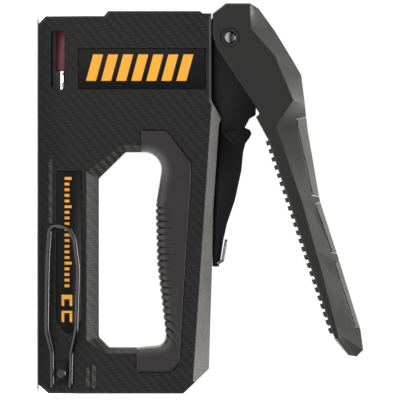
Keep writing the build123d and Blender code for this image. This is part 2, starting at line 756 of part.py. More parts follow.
def guide_rod():
    return pin_x(0, ROD_Z, ROD_R, 9.0, END_CAP_X + 3.9)


def pusher_spring():
    front = PUSHER_FRONT + PUSHER_LEN + 0.8
    length = END_CAP_X - front - 0.8
    return Pos(front, 0, ROD_Z) * Rot(0, 90, 0) * coil(1.75, 0.35, length / 24, length)


def pusher():
    x1 = PUSHER_FRONT + PUSHER_LEN
    half = MAG_HALF - SHEET - CLEAR
    saddle = block(PUSHER_FRONT, x1, -half, half, RAIL_TOP + CLEAR, 16.8)
    legs = both_sides(block(PUSHER_FRONT, x1, -half, -RAIL_HALF - 0.2, 8.6, RAIL_TOP + 1))
    tongue = block(PUSHER_FRONT, x1, -3.6, 3.6, 5.0, RAIL_TOP + 1)
    return saddle + legs + tongue - pin_x(0, ROD_Z, ROD_R + FIT, 0, 50)


def magazine_catch():
    """Leaf spring on the channel's roof with a nose in the end cap's notch."""
    root = END_CAP_X - 24.4
    leaf = block(root, END_CAP_X + 4.6, -3.0, 3.0, MAG_TOP + 0.5, MAG_TOP + 1.1)
    leaf += block(root, root + 6.0, -3.0, 3.0, MAG_TOP + SEAT, MAG_TOP + 1.1)
    return leaf + block(END_CAP_X + 3.4, END_CAP_X + 4.6, -3.0, 3.0, MAG_TOP - 0.6, MAG_TOP + 1.1)


# ---- belt hook ----
def belt_hook():
    out = -BODY_HALF - HOOK_GAP - HOOK_R
    rest = -BODY_HALF - HOOK_R - SEAT
    low, high = HOOK_ENDS
    path = [
        (0.0, -BODY_HALF + 4.5, low),
        (0.0, rest, low),
        (17.0, rest, low - 0.3),
        (28.0, out, 4.6),
        (53.0, out, 4.9),
        (65.0, out, 5.2),
        (79.7, out, 6.2),
        (79.7, out, 15.2),
        (73.0, out, 18.4),
        (59.0, out, 20.2),
        (28.0, out, 19.2),
        (17.0, rest, high + 0.4),
        (0.0, rest, high),
        (0.0, -BODY_HALF + 4.5, high),
    ]
    path = [(HOOK_REAR - forward, py, pz) for forward, py, pz in path]
    return wire_along(path, [1.6, 8.0, 8.0, 20.0, 20.0, 3.2, 3.2, 8.0, 20.0, 8.0, 8.0, 1.6], HOOK_R)


def hook_clamp():
    px, pz = HOOK_SCREW
    corners = [(px - 6.1, pz - 2.9), (px + 4.7, pz - 2.9), (px + 4.7, pz + 2.9), (px - 6.1, pz + 2.9)]
    pad = rounded_plate(corners, 1.2, -BODY_HALF - 1.9, -BODY_HALF - SEAT)
    return pad - pin_y(px, pz, HOOK_SCREW_R + 0.15, -BODY_HALF - 5, 0)


def cross_recess(px, pz, y0, y1, arm, thick):
    bar = block(px - arm, px + arm, y0, y1, pz - thick, pz + thick)
    return bar + block(px - thick, px + thick, y0, y1, pz - arm, pz + arm)


def hook_screw():
    px, pz = HOOK_SCREW
    head = pin_y(px, pz, 2.1, -BODY_HALF - 3.1, -BODY_HALF - 1.95)
    head = chamfer(head.edges().group_by(Axis.Y)[0], 0.4)
    screw = head + pin_y(px, pz, HOOK_SCREW_R, -BODY_HALF - 2.0, -BODY_HALF + 6.5)
    return screw - cross_recess(px, pz, -BODY_HALF - 4, -BODY_HALF - 2.2, 1.2, 0.3)


def shell_screws():
    """Screws that come in from the +Y side."""
    screws = []
    for px, pz in SCREWS:
        screw = pin_y(px, pz, SCREW_HEAD_R, BODY_HALF - 1.95, BODY_HALF - 0.3)
        screw += pin_y(px, pz, SCREW_R, -9.0, BODY_HALF - 1.9)
        screws.append(screw - cross_recess(px, pz, BODY_HALF - 1.5, BODY_HALF + 1, 1.6, 0.35))
    return Compound(children=screws)


# ---- main ----
os.makedirs("parts", exist_ok=True)
save("left_shell", left_shell())
save("right_shell", right_shell())
save("grip_rubber_left", rubber_half())
save("grip_rubber_right", mirror(rubber_half(), about=Plane.XZ))
save("badge_plate", badge_plate())
save("info_plate", info_plate())
save("lever", lever())
for name, place in zip(("palm_pad_front", "palm_pad_middle", "palm_pad_rear"), PADS):
    save(name, palm_pad(*place))
save("lever_tread", tread())
save("lever_pivot_pin", lever_pivot_pin())
save("pivot_washers", pivot_washers())
save("drive_arm", drive_arm())
save("drive_roller", drive_roller())
save("roller_pin", roller_pin())
save("lever_return_spring", lever_return_spring())
save("lock_catch", lock_catch())
save("neck_frame", neck_frame())
save("lock_bail", lock_bail())
save("lift_arm", lift_arm())
save("lift_arm_pin", lift_arm_pin())
save("striker_blade", striker_blade())
save("striker_carrier", striker_carrier())
save("blade_rivets", blade_rivets())
save("main_spring", main_spring())
save("spring_seat", spring_seat())
save("striker_bumper", striker_bumper())
save("nose_plate", nose_plate())
save("magazine_channel", magazine_channel())
save("magazine_rail", magazine_rail())
save("magazine_end_cap", magazine_end_cap())
save("guide_rod", guide_rod())
save("pusher_spring", pusher_spring())
save("pusher", pusher())
save("magazine_catch", magazine_catch())
save("belt_hook", belt_hook())
save("hook_clamp", hook_clamp())
save("hook_screw", hook_screw())
save("shell_screws", shell_screws())
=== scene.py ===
import json
from math import atan2, cos, pi, radians, sin

import bmesh
import bpy
from mathutils import Matrix, Vector


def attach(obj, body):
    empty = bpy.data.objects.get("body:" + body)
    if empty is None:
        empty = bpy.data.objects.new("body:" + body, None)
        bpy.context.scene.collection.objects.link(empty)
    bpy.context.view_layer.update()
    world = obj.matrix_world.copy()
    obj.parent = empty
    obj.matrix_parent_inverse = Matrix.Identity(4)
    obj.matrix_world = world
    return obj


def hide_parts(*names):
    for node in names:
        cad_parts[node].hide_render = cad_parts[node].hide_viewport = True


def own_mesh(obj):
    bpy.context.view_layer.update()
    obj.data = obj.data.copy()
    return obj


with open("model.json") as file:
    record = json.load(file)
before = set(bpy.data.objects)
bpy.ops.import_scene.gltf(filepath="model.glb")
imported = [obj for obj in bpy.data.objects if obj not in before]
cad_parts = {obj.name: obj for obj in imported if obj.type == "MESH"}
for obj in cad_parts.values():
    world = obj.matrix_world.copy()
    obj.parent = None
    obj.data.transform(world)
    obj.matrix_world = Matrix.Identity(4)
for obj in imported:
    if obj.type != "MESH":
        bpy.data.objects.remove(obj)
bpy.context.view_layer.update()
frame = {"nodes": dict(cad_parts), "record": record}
NODES = frame["nodes"]
MM = 0.001


# ---- shader maths ----
class Sock:
    """A socket, or a plain number, that can be used in an expression."""

    def __init__(self, tree, value):
        self.tree = tree
        self.value = value

    def math(self, operation, *others):
        node = self.tree.nodes.new("ShaderNodeMath")
        node.operation = operation
        for slot_index, value in enumerate((self,) + others):
            plug(self.tree, node.inputs[slot_index], value)
        return Sock(self.tree, node.outputs[0])

    def __add__(self, other):
        return self.math("ADD", other)

    def __radd__(self, other):
        return self.math("ADD", other)

    def __sub__(self, other):
        return self.math("SUBTRACT", other)

    def __rsub__(self, other):
        return Sock(self.tree, other).math("SUBTRACT", self)

    def __mul__(self, other):
        return self.math("MULTIPLY", other)

    def __rmul__(self, other):
        return self.math("MULTIPLY", other)


def plug(tree, socket, value):
    """Gives an input its link or its value."""
    if isinstance(value, Sock):
        value = value.value
    if isinstance(value, bpy.types.NodeSocket):
        tree.links.new(value, socket)
    else:
        socket.default_value = value


class Nodes:
    """Adds nodes to one tree."""

    def __init__(self, tree):
        self.tree = tree

    def node(self, kind, settings=None, **values):
        node = self.tree.nodes.new(kind)
        for key, value in (settings or {}).items():
            if key == "stops":
                set_stops(node.color_ramp, value)
            else:
                setattr(node, key, value)
        for key, value in values.items():
            plug(self.tree, node.inputs[key.replace("_", " ")], value)
        return node

    def out(self, kind, settings=None, output=0, **values):
        return Sock(self.tree, self.node(kind, settings, **values).outputs[output])

    def level(self, factor, low, high, out_low=0.0, out_high=1.0):
        """Remaps a number, clamped."""
        node = self.node("ShaderNodeMapRange")
        for slot_index, value in enumerate((factor, low, high, out_low, out_high)):
            plug(self.tree, node.inputs[slot_index], value)
        return Sock(self.tree, node.outputs[0])

    def parts(self, vector):
        """The x, y and z of a vector as numbers."""
        node = self.node("ShaderNodeSeparateXYZ", Vector=vector)
        return [Sock(self.tree, node.outputs[index]) for index in range(3)]


class Finish(Nodes):
    """A node material on a Principled shader."""

    def __init__(self, name, color=(0.5, 0.5, 0.5), **fixed):
        self.mat = bpy.data.materials.new(name)
        self.mat.use_nodes = True
        super().__init__(self.mat.node_tree)
        self.shader = self.tree.nodes["Principled BSDF"]
        self.shader.inputs["Base Color"].default_value = (*color, 1.0)
        for key, value in fixed.items():
            self.shader.inputs[key.replace("_", " ")].default_value = value
        self.place = self.out("ShaderNodeTexCoord", output="Object")

    def noise(self, scale, detail=3.0, roughness=0.55, vector=None):
        return self.out("ShaderNodeTexNoise", output="Fac", Vector=vector or self.place, Scale=scale,
                        Detail=detail, Roughness=roughness)

    def mottle(self, scale, cloud_scale, grain_share=0.6, cloud_share=0.5):
        """A fine grain, and how light each place is from it and from broad clouds."""
        grain = self.noise(scale, 3.0, 0.6)
        clouds = self.noise(cloud_scale, 3.0)
        return grain, self.level(grain * grain_share + clouds * cloud_share, 0.3, 0.8)

    def attribute(self, name):
        return self.out("ShaderNodeAttribute", {"attribute_name": name}, output="Fac")

    def stretched(self, sx, sy, sz):
        """Object coordinates scaled along each axis."""
        return self.out("ShaderNodeMapping", Vector=self.place, Scale=(sx, sy, sz))

    def ramp(self, factor, *stops):
        return self.out("ShaderNodeValToRGB", {"stops": stops}, output="Color", Fac=factor)

    def tones(self, factor, dark, light):
        return self.ramp(factor, (0.0, dark), (1.0, light))

    def mix(self, factor, first, second):
        node = self.node("ShaderNodeMix", {"data_type": "RGBA"})
        plug(self.tree, node.inputs["Factor"], factor)
        for plug_name, value in (("A", first), ("B", second)):
            target = next(i for i in node.inputs if i.name == plug_name and i.type == "RGBA")
            plug(self.tree, target, value if isinstance(value, Sock) else (*value, 1.0))
        return Sock(self.tree, next(o for o in node.outputs if o.type == "RGBA"))

    def color(self, value):
        plug(self.tree, self.shader.inputs["Base Color"], value)

    def rough(self, value):
        plug(self.tree, self.shader.inputs["Roughness"], value)

    def bump(self, height, distance, strength=1.0):
        node = self.node("ShaderNodeBump", Strength=strength, Distance=distance, Height=height)
        plug(self.tree, self.shader.inputs["Normal"], node.outputs[0])


def set_stops(ramp, stops):
    while len(ramp.elements) > 1:
        ramp.elements.remove(ramp.elements[-1])
    for index, (position, value) in enumerate(stops):
        element = ramp.elements[0] if index == 0 else ramp.elements.new(position)
        element.position = position
        element.color = (*value, 1.0)


# ---- finishes ----
TWILL = 1.25 * MM         # width of one fibre tow
TWILL_TURN = radians(4)   # the weave leans a little from the body's own axes
CHEEK_FACING = 0.93, 0.985    # sideways share of a face's normal: back below the first, cheek above; the back is painted paler, partly wear and partly a painted highlight


def twill(fin):
    """Height of a 2 x 2 twill in the side plane (tows over two and under two), and which tow is up."""
    x, _, z = fin.parts(fin.place)
    across = (x * cos(TWILL_TURN) - z * sin(TWILL_TURN)) * (1 / TWILL)
    upward = (x * sin(TWILL_TURN) + z * cos(TWILL_TURN)) * (1 / TWILL)
    column = across.math("FLOOR")
    row = upward.math("FLOOR")
    over = ((column - row) * 0.5).math("FLOORED_MODULO", 2.0).math("GREATER_THAN", 0.9)
    warp = (across * pi).math("SINE").math("ABSOLUTE") * over
    weft = (upward * pi).math("SINE").math("ABSOLUTE") * (1.0 - over)
    return warp + weft, over


def composite(name, dark, light):
    """Moulding with a woven fibre pattern that shows on the flat sides."""
    fin = Finish(name, IOR=1.46, Specular_IOR_Level=0.3)
    height, over = twill(fin)
    cloud = fin.noise(28.0, 3.0)
    grain = fin.noise(2600.0, 2.0)
    tone = fin.level(over * height * 0.8 + cloud * 0.3, 0.08, 0.95)
    fin.color(fin.tones(tone, dark, light))
    fin.rough(fin.level(over * 0.5 + grain * 0.5, 0.0, 1.0, 0.42, 0.58))
    fin.bump(height * 0.8 + grain * 0.2, 0.00010, 0.5)
    return fin.mat


def grained(name, dark, light, grain_scale, rough_low, rough_high, bump_depth, **fixed):
    """Moulded surface with a fine spark-eroded grain."""
    fin = Finish(name, **fixed)
    grain, tone = fin.mottle(grain_scale, grain_scale * 0.03)
    fin.color(fin.tones(tone, dark, light))
    fin.rough(fin.level(grain, 0.3, 0.7, rough_low, rough_high))
    fin.bump(grain, bump_depth, 0.6)
    return fin.mat


def lever_moulding():
    """Grained black moulding, paler on its sloped back and its edges: partly wear, partly a painted highlight
    where light falls on them.
    """
    fin = Finish("lever_moulding", Specular_IOR_Level=0.35)
    grain, tone = fin.mottle(2400.0, 70.0)
    lit_back_tone = fin.mottle(2400.0, 70.0, 0.7, 0.4)[1]
    sideways = fin.parts(fin.out("ShaderNodeNewGeometry", output="Normal"))[1].math("ABSOLUTE")
    # faces turned away from the side get the paler tone: a painted highlight on the lever's back, partly wear
    sloped = fin.level(sideways, *CHEEK_FACING, 1.0, 0.0)
    cheek = fin.tones(tone, (0.0060, 0.0060, 0.0056), (0.0125, 0.0125, 0.0117))
    back = fin.tones(lit_back_tone, (0.029, 0.030, 0.0265), (0.060, 0.061, 0.054))
    fin.color(fin.mix(sloped, cheek, back))
    fin.rough(fin.level(grain, 0.3, 0.7, 0.42, 0.56))
    fin.bump(grain, 0.00005, 0.7)
    return fin.mat


def rubber():
    """Charcoal rubber with a fine grain, paler on its roll (partly wear, partly a painted highlight) and near
    black down in the grooves, which is painted shade.
    """
    fin = Finish("grip_rubber", Specular_IOR_Level=0.4, Sheen_Weight=0.25, Sheen_Roughness=0.3,
                 Sheen_Tint=(0.95, 0.92, 0.78, 1.0))
    grain, tone = fin.mottle(1900.0, 60.0)
    clean = fin.tones(tone, (0.0095, 0.0078, 0.0078), (0.0175, 0.0146, 0.0146))
    wear_and_highlight = fin.attribute("wear_and_highlight")
    # the roll is mixed towards a pale cream: partly wear, partly a painted highlight
    highlighted_roll = fin.mix(fin.level(wear_and_highlight * 0.8 + grain * wear_and_highlight * 0.4, 0.0, 1.0), clean, (0.24, 0.235, 0.19))
    # grooves are mixed to near black: painted shade down between the ribs
    fin.color(fin.mix(fin.level(fin.attribute("groove"), 0.0, 0.35), highlighted_roll, (0.002, 0.002, 0.002)))
    fin.rough(fin.level(grain, 0.3, 0.7, 0.36, 0.46))
    fin.bump(grain, 0.00003, 0.6)
    return fin.mat


def metal(name, tone, rough_low, rough_high):
    """Bare steel with fine marks along X."""
    fin = Finish(name, Metallic=1.0)
    marks = fin.noise(60.0, 4.0, 0.6, fin.stretched(4.0, 40.0, 40.0))
    fin.color(fin.ramp(marks, (0.25, tuple(t * 0.8 for t in tone)), (0.75, tone)))
    fin.rough(fin.level(marks, 0.2, 0.8, rough_low, rough_high))
    fin.bump(marks, 0.00002, 0.3)
    return fin.mat


def coated(name, tone, rough_low, rough_high, scale=900.0, bump_depth=0.00002, coat=0.15):
    """Paint or oxide on metal, a little uneven."""
    fin = Finish(name, Coat_Weight=coat, Coat_Roughness=0.08)
    spots = fin.noise(scale, 3.0)
    fin.color(fin.ramp(spots, (0.3, tuple(t * 0.75 for t in tone)), (0.7, tone)))
    fin.rough(fin.level(spots, 0.3, 0.7, rough_low, rough_high))
    fin.bump(spots, bump_depth, 0.35)
    return fin.mat


FINISHES = {
    "composite": composite("woven_composite", (0.0022, 0.0021, 0.0021), (0.0125, 0.0117, 0.0113)),
    # flared rim of the hand hole and raised ridges: a paler weave, partly wear and partly a painted highlight
    "flare": composite("weave_wear_and_highlight", (0.018, 0.0175, 0.016), (0.066, 0.064, 0.058)),
    # sloped flank of the back: its own grain, in a paler tone that is partly a painted highlight
    "flank": grained("moulded_flank", (0.012, 0.0115, 0.0105), (0.140, 0.136, 0.124),
                     1000.0, 0.5, 0.7, 0.0003),
    "grip_rubber": rubber(),
    "label_panel": grained("label_black", (0.0020, 0.0021, 0.0023), (0.0042, 0.0042, 0.0046),
                           900.0, 0.45, 0.55, 0.00001, Specular_IOR_Level=0.15),
    "lever_composite": lever_moulding(),
    "palm_pad": grained("palm_pad_rubber", (0.080, 0.082, 0.074), (0.125, 0.127, 0.115),
                        2200.0, 0.55, 0.7, 0.00003),
    "tread_rubber": grained("tread_rubber", (0.006, 0.006, 0.006), (0.014, 0.014, 0.014),
                            1800.0, 0.5, 0.65, 0.00002),
    "black_plastic": grained("neck_moulding", (0.0035, 0.0035, 0.0038), (0.008, 0.008, 0.008),
                             1600.0, 0.40, 0.55, 0.00002, Specular_IOR_Level=0.15),
    "bright_steel": metal("ground_steel", (0.70, 0.70, 0.68), 0.16, 0.30),
    "pin_steel": metal("pin_steel", (0.20, 0.20, 0.205), 0.2, 0.28),
    "plated_steel": metal("zinc_plate", (0.48, 0.48, 0.46), 0.28, 0.42),
    "spring_steel": metal("spring_wire", (0.36, 0.36, 0.36), 0.25, 0.4),
    "black_wire": coated("hook_wire", (0.003, 0.003, 0.0034), 0.08, 0.14, 300.0, 0.000003, 0.4),
    "black_steel": coated("blackened_sheet", (0.006, 0.006, 0.0065), 0.32, 0.48),
    "black_screw": coated("screw_oxide", (0.016, 0.016, 0.017), 0.3, 0.42),
    "pusher_maroon": grained("pusher_red", (0.17, 0.020, 0.034), (0.24, 0.032, 0.050),
                             1200.0, 0.28, 0.38, 0.00001),
}
YELLOW = grained("print_yellow", (0.74, 0.31, 0.012), (0.82, 0.37, 0.022),
                 700.0, 0.42, 0.52, 0.00001)
OWN_FINISH = {"lock_bail": "pin_steel"}    # nodes that do not take the finish named after their slot

SLOTS = {entry["node"]: entry["material_slot"] for entry in frame["record"]["subparts"]}
BODY_OF = {node: body for body, nodes in frame["record"]["behaviour"]["bodies"].items()
           for node in nodes}
for node_name, node_object in NODES.items():
    node_object.data.materials.clear()
    node_object.data.materials.append(FINISHES[OWN_FINISH.get(node_name, SLOTS[node_name])])


# ---- camera, floor and light ----
LENS, SENSOR = 500, 36
VIEW_WIDTH = 200 * MM     # width of the view at the object's near side
VIEW_X = 92 * MM          # middle of the view along the body
VIEW_Z = 81 * MM          # middle of the view from base to lever
SIDE_FACE = 16 * MM       # near side of the body, from the parting plane
MIDDLE = 0.09, 0, 0.07    # what the lamps are turned to
FLOOR_HALF = 0.9
FLOOR_DROP = 0.0004       # keeps the floor clear of the base


def camera():
    """Long lens square on to the left-hand side, rolled so that the nose is up and the lever to the right."""
    data = bpy.data.cameras.new("camera")
    data.lens = LENS
    data.sensor_width = SENSOR
    data.clip_start = 0.01
    data.clip_end = 20
    cam = bpy.data.objects.new("camera", data)
    bpy.context.scene.collection.objects.link(cam)
    bpy.context.scene.camera = cam
    away = VIEW_WIDTH * LENS / SENSOR + SIDE_FACE
    right_is_z_up_is_minus_x = Matrix(((0, -1, 0), (0, 0, -1), (1, 0, 0))).to_4x4()
    cam.matrix_world = Matrix.Translation((VIEW_X, -away, VIEW_Z)) @ right_is_z_up_is_minus_x


def floor():
    """Pale ground under the object, glowing a little so that it stays white."""
    mesh = bpy.data.meshes.new("floor")
    shape = bmesh.new()
    bmesh.ops.create_grid(shape, x_segments=1, y_segments=1, size=FLOOR_HALF)
    shape.transform(Matrix.Translation((MIDDLE[0], 0, -FLOOR_DROP)))
    shape.to_mesh(mesh)
    shape.free()
    obj = bpy.data.objects.new("floor", mesh)
    bpy.context.scene.collection.objects.link(obj)
    fin = Finish("floor", (0.92, 0.92, 0.92), Roughness=0.9, Emission_Color=(1, 1, 1, 1),
                 Emission_Strength=0.25)
    mesh.materials.append(fin.mat)


def area(name, place, power, width, height):
    """Rectangular lamp at a place, turned to the object."""
    data = bpy.data.lights.new(name, "AREA")
    data.shape = "RECTANGLE"
    data.size = width
    data.size_y = height
    data.energy = power
    lamp = bpy.data.objects.new(name, data)
    bpy.context.scene.collection.objects.link(lamp)
    lamp.location = place
    lamp.rotation_euler = (Vector(MIDDLE) - Vector(place)).to_track_quat("-Z", "Y").to_euler()


def studio():
    """Bright to the camera all round. The object itself is lit from over the lever and from behind, with
    a weak strip on its near side and a narrow lamp that draws a glint along the hook."""
    floor()
    world = bpy.data.worlds.new("studio")
    bpy.context.scene.world = world
    world.use_nodes = True
    sky = Nodes(world.node_tree)
    background = sky.tree.nodes["Background"]
    facing_back = sky.parts(sky.out("ShaderNodeTexCoord", output="Generated"))[1]
    on_object = sky.level(facing_back, 0.0, 0.8, 0.03, 0.8)
    to_camera = sky.out("ShaderNodeLightPath", output="Is Camera Ray")
    plug(sky.tree, background.inputs["Strength"], sky.level(to_camera, 0.0, 1.0, on_object, 1.05))
    plug(sky.tree, background.inputs["Color"], (1, 1, 1, 1))
    area("over_lever", (0.04, 0.05, 1.1), 30, 1.0, 1.0)
    area("front_strip", (0.1, -1.0, 0.62), 1.2, 1.1, 0.1)
    area("wire_glint", (0.1, -0.5, 1.0), 2.2, 0.7, 0.03)
    bpy.context.scene.view_settings.view_transform = "Standard"


camera()
studio()


# ---- mesh helpers; places are in millimetres, (x, z) in the side plane ----
def piece(name, shape, body, finish, replaces=(), smooth=False):
    """Turns a bmesh in millimetres into a piece that rides on a body."""
    shape.transform(Matrix.Scale(MM, 4))
    mesh = bpy.data.meshes.new(name)
    shape.to_mesh(mesh)
    shape.free()
    for polygon in mesh.polygons:
        polygon.use_smooth = smooth
    return fitted(bpy.data.objects.new(name, mesh), body, [finish], replaces)


def fitted(obj, body, finishes, replaces=()):
    """Gives an object its finishes, its body and the nodes it stands for."""
    bpy.context.scene.collection.objects.link(obj)
    for finish in finishes:
        obj.data.materials.append(finish)
    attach(obj, body)
    if replaces:
        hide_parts(*replaces)
    return obj


def eased(obj, width, segments=2, crisp=False):
    """Rounds the marked edges to a width in millimetres; crisp leaves the faces' own normals alone."""
    modifier = obj.modifiers.new("eased_edges", "BEVEL")
    modifier.width = width * MM
    modifier.segments = segments
    modifier.limit_method = "WEIGHT"
    modifier.use_clamp_overlap = False
    modifier.harden_normals = not crisp


def mark_edges(shape, angle, shortest):
    """Weights the long sharp edges for rounding, and keeps the short ones crisp."""
    weight = shape.edges.layers.float.new("bevel_weight_edge")
    for edge in shape.edges:
        if len(edge.link_faces) != 2:
            continue
        sharp = edge.calc_face_angle() > radians(angle)
        if sharp and edge.calc_length() > shortest:
            edge[weight] = 1.0
        elif sharp:
            edge.smooth = False


def merged(node):
    """Bmesh of a CAD node with its doubled vertices merged."""
    shape = bmesh.new()
    shape.from_mesh(NODES[node].data)
    bmesh.ops.remove_doubles(shape, verts=shape.verts, dist=1e-6)
    return shape


def finished_copy(node, width, segments=2, finishes=None, pick=None, angle=28, shortest=1.3, crisp=False):
    """Copy of a CAD node with eased edges, standing for that node. pick gives a face its finish number."""
    shape = merged(node)
    mark_edges(shape, angle, shortest * MM)
    for face in shape.faces:
        face.smooth = not crisp
    numbers = [pick(face) if pick else 0 for face in shape.faces]
    name = node + "_body"
    mesh = bpy.data.meshes.new(name)
    shape.to_mesh(mesh)
    shape.free()
    slot = SLOTS[node]
    obj = fitted(bpy.data.objects.new(name, mesh), BODY_OF[node], finishes or [FINISHES[slot]], (node,))
    mesh.polygons.foreach_set("material_index", numbers)
    eased(obj, width, segments, crisp)


def pushed_out(shape, faces, depth):
    """Extrudes faces along Y."""
    made = bmesh.ops.extrude_face_region(shape, geom=faces)["geom"]
    far = [item for item in made if isinstance(item, bmesh.types.BMVert)]
    bmesh.ops.translate(shape, vec=(0, depth, 0), verts=far)


def prism(shape, points, y0, y1):
    """Adds a flat prism with an (x, z) outline between two Y planes."""
    face = shape.faces.new([shape.verts.new((x, y0, z)) for x, z in points])
    pushed_out(shape, [face], y1 - y0)


def closed(shape):
    """Merges what meets and turns every face outwards."""
    bmesh.ops.remove_doubles(shape, verts=shape.verts, dist=1e-4)
    bmesh.ops.recalc_face_normals(shape, faces=shape.faces)
    return shape


def rounded(points, radii, step=0.5):
    """Open outline with its inner corners turned into arcs, whose points are about step apart."""
    line = [Vector(points[0])]
    for before, corner, after, radius in zip(points, points[1:], points[2:], radii):
        corner = Vector(corner)
        back = (Vector(before) - corner).normalized()
        on = (Vector(after) - corner).normalized()
        half = back.angle(on) / 2
        centre = corner + (back + on).normalized() * (radius / sin(half))
        first = corner + back * (radius * cos(half) / sin(half)) - centre
        last = corner + on * (radius * cos(half) / sin(half)) - centre
        turn = atan2(first.x * last.y - first.y * last.x, first.dot(last))
        steps = max(2, int(radius * abs(turn) / step))
        line += [centre + Matrix.Rotation(turn * index / steps, 2) @ first for index in range(steps + 1)]
    return line + [Vector(points[-1])]


def along(line, count):
    """Points evenly spaced along a line."""
    lengths = [0.0]
    for a, b in zip(line, line[1:]):
        lengths.append(lengths[-1] + (b - a).length)
    spaced, index = [], 0
    for k in range(count):
        want = lengths[-1] * k / (count - 1)
        while index < len(line) - 2 and lengths[index + 1] < want:
            index += 1
        share = (want - lengths[index]) / (lengths[index + 1] - lengths[index])
        spaced.append(line[index].lerp(line[index + 1], share))
    return spaced


# ---- body ----
BODY_FINISHES = [FINISHES["composite"], FINISHES["flank"], FINISHES["flare"]]
WOVEN, GRAIN_AND_HIGHLIGHT, WEAR_AND_HIGHLIGHT = range(3)           # their places in the list
RAISED_Y = 16.2 * MM                      # ridges that stand beyond this are painted paler, partly wear and partly a painted highlight
SLANTED = 0.3, 0.9                        # sideways share of the normal of a sloped face
BACK_Z, BACK_FROM_X = 70 * MM, 36 * MM    # the back is above the one, its grain behind the other
BACK_RISE = 0.6                           # least upward share of the normal of the sloped back
RIM_X, RIM_Z = (60 * MM, 175 * MM), 25 * MM    # where the flared rim of the hand hole lies


def body_finish(face):
    """The sloped flank of the back has its own grain, paler in part as a painted highlight, and the flared
    rim of the hand hole and the raised ridges are paler, partly wear and partly a painted highlight.
    """
    normal, middle = face.normal, face.calc_center_median()
    if abs(middle.y) > RAISED_Y:
        return WEAR_AND_HIGHLIGHT
    if not SLANTED[0] <= abs(normal.y) <= SLANTED[1]:
        return WOVEN
    if middle.z > BACK_Z:
        return GRAIN_AND_HIGHLIGHT if normal.z > BACK_RISE and middle.x > BACK_FROM_X else WOVEN
    return WEAR_AND_HIGHLIGHT if RIM_X[0] < middle.x < RIM_X[1] and middle.z > RIM_Z else WOVEN


def body_shells():
    for node in ("left_shell", "right_shell"):
        finished_copy(node, 0.3, finishes=BODY_FINISHES, pick=body_finish, crisp=True)


# ---- grip rubber ----
SIDE = 16.7                # face of the rubber from the parting plane
SKIN_BACK = 14.75          # back of the skin, in the shell's pocket
LIP = 4.6                  # radius of the roll at the finger edge
LIP_SHARE = 0.45           # the roll takes no more than this share of the rubber's width
RUBBER = 2.75              # thickness of the wall that the fingers press on
RIB_FROM, RIB_TO, RIB_PITCH = 92.6, 159.8, 3.32
RIB_DEEP = 1.55
RIB_FULLNESS = 0.4         # below 1 the crests are broad and the grooves narrow
RIB_END = 1.5              # the grooves reach full depth over this length at both ends
WEAR_AND_HIGHLIGHT_TURN = pi * 0.36      # how far round the roll the paler wear and painted highlight go
WEAR_AND_HIGHLIGHT_FRONT = 90.0, 14.0, 0.5     # wear and painted highlight begin here, are full after this length, how strong
WEAR_AND_HIGHLIGHT_REAR = 160.5, 3.0, 0.3
WEAR_AND_HIGHLIGHT_RIBS = 0.16
FINGER_EDGE = [(68.0, 51.55), (68.0, 63.2), (96.0, 58.6), (124.0, 59.4), (165.0, 64.4), (166.3, 49.25)]
FINGER_RADII = [9.0, 25.0, 60.0, 5.5]
OUTER_EDGE = [(57.3, 51.55), (57.3, 64.6), (73.1, 76.1), (78.0, 76.6), (126.0, 73.5), (173.4, 70.6),
              (177.8, 66.9), (177.8, 49.25)]
OUTER_RADII = [4.0, 4.0, 2.5, 60.0, 3.0, 2.5]
# X of places on the finger edge and on the outer edge that face each other, and the steps between them
STATIONS = [(78.0, 79.5), (96.0, 96.0), (124.0, 124.0), (152.0, 153.0), (160.5, 168.0)]
COUNTS = [46, 40, 150, 150, 46, 60]


def split_at(line, stations):
    """Cuts a line where it first passes each X station."""
    parts, current, pending = [], [line[0]], list(stations)
    for a, b in zip(line, line[1:]):
        while pending and a.x < pending[0] <= b.x:
            cut = a.lerp(b, (pending[0] - a.x) / (b.x - a.x))
            parts.append(current + [cut])
            current = [cut]
            pending.pop(0)
        current.append(b)
    return parts + [current]


def matched_lines():
    """Finger edge and outer edge of the rubber with the same number of points, facing each other."""
    finger_stations, outer_stations = zip(*STATIONS)
    finger = split_at(rounded(FINGER_EDGE, FINGER_RADII), finger_stations)
    outer = split_at(rounded(OUTER_EDGE, OUTER_RADII), outer_stations)
    pairs = []
    for part_a, part_b, count in zip(finger, outer, COUNTS):
        rows = list(zip(along(part_a, count + 1), along(part_b, count + 1)))
        pairs += rows[:-1]
    return pairs + [rows[-1]]


def lip_radius(width):
    return min(LIP, width * LIP_SHARE)


def rubber_profile(width):
    """Closed section: (distance from the finger edge, height from the parting plane, share of rib)."""
    lip = lip_radius(width)
    section = [(0.0, 0.1, 1.0), (0.0, (SIDE - lip) * 0.5, 1.0), (0.0, SIDE - lip, 1.0)]
    for index in range(1, 9):
        turn = pi / 2 * index / 8
        section.append((lip - lip * cos(turn), SIDE - lip + lip * sin(turn), 1.0 if index < 7 else 0.85))
    for share, rib in ((0.15, 0.62), (0.3, 0.36), (0.5, 0.14), (0.7, 0.0), (0.9, 0.0)):
        section.append((lip + (width - lip) * share, SIDE, rib))
    section += [(width - 0.35, SIDE, 0.0), (width - 0.1, SIDE - 0.1, 0.0), (width, SIDE - 0.4, 0.0),
                (width, SKIN_BACK, 0.0), (RUBBER + 0.5, SKIN_BACK, 0.0), (RUBBER, SKIN_BACK - 0.5, 0.0),
                (RUBBER, 0.1, 0.0)]
    return section


def rib(x):
    """Height of the ribs along the grip, from 0 in a groove to 1 on a crest."""
    if not RIB_FROM < x < RIB_TO:
        return 1.0
    wave = abs(sin(pi * (x - RIB_FROM) / RIB_PITCH)) ** RIB_FULLNESS
    ends = min(1.0, (x - RIB_FROM) / RIB_END, (RIB_TO - x) / RIB_END)
    return 1.0 - ends * (1.0 - wave)


